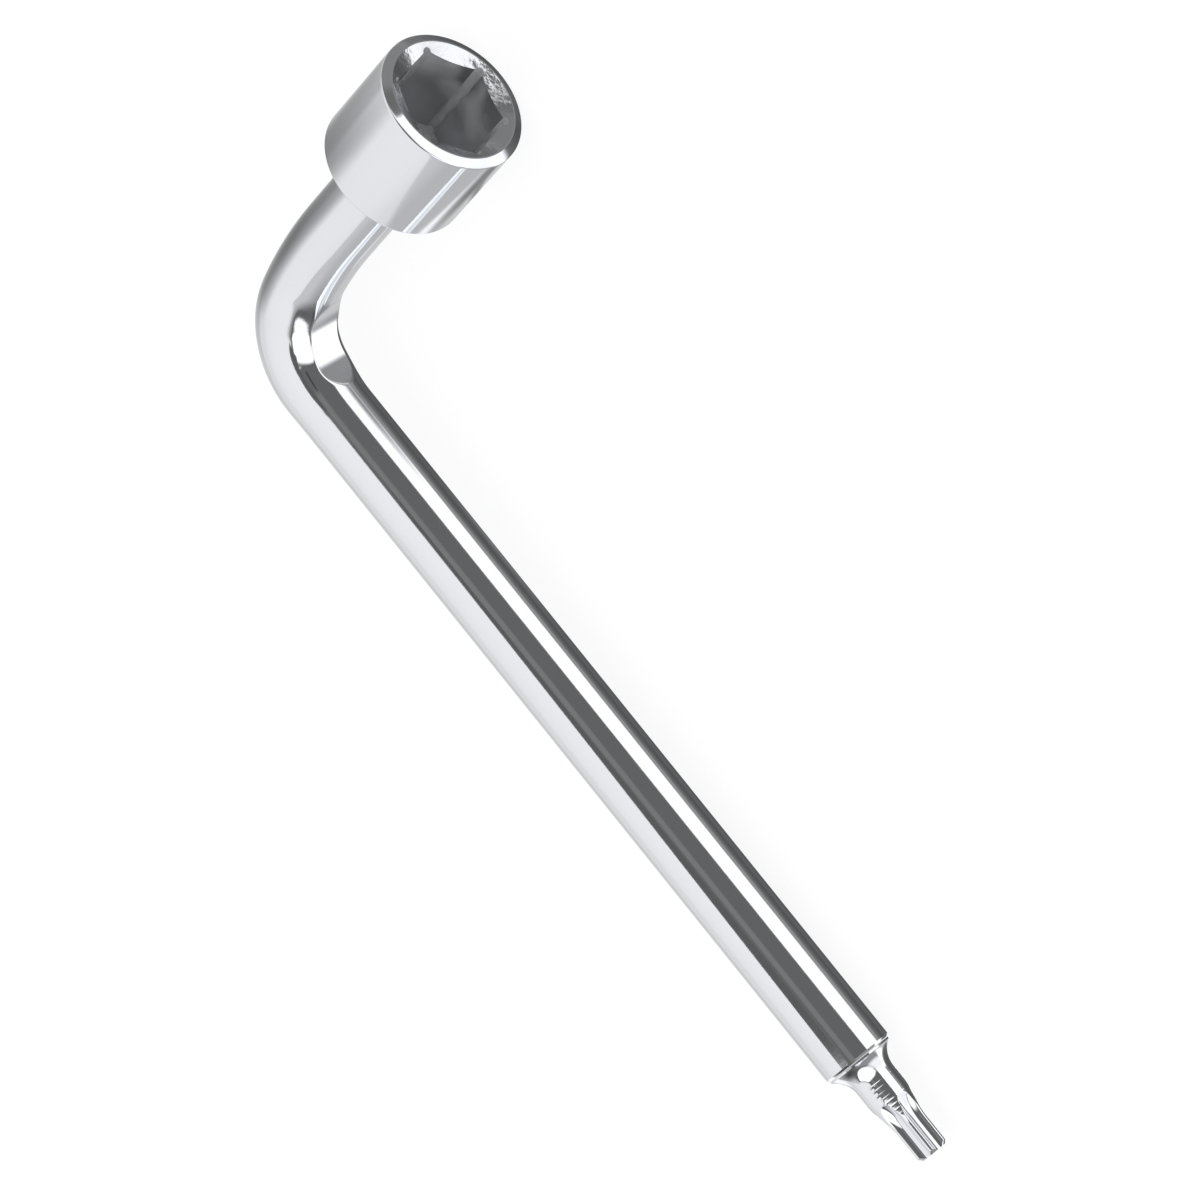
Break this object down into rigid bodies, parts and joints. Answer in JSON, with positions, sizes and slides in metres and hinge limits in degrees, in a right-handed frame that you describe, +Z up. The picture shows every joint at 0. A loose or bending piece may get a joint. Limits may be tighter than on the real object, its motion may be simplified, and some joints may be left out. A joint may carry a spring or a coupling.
{
  "type": "saw blade wrench",
  "caption": "L-shaped chrome-plated wrench for changing saw blades: bent round bar with a hex socket on the short arm and a six-lobe driver bit on the long arm.",
  "frame": {"origin": "centre of the bounding box's underside, on the surface that the tool lies on", "axes": "+X along the long arm's plan direction towards the bit, +Y along the short arm towards the socket's mouth, +Z up"},
  "size_m": [0.1482, 0.0566, 0.0198],
  "materials": {
    "bar_chrome": "bright chrome plate over a drawn bar, faintly wavy",
    "socket_chrome": "bright chrome plate outside, satin in the broached hex",
    "bit_chrome": "chrome plate over a turned and fluted tip"
  },
  "bodies": {
    "root": {"bent_bar": "bar_chrome", "hex_socket": "socket_chrome", "six_lobe_bit": "bit_chrome"}
  },
  "joints": []
}
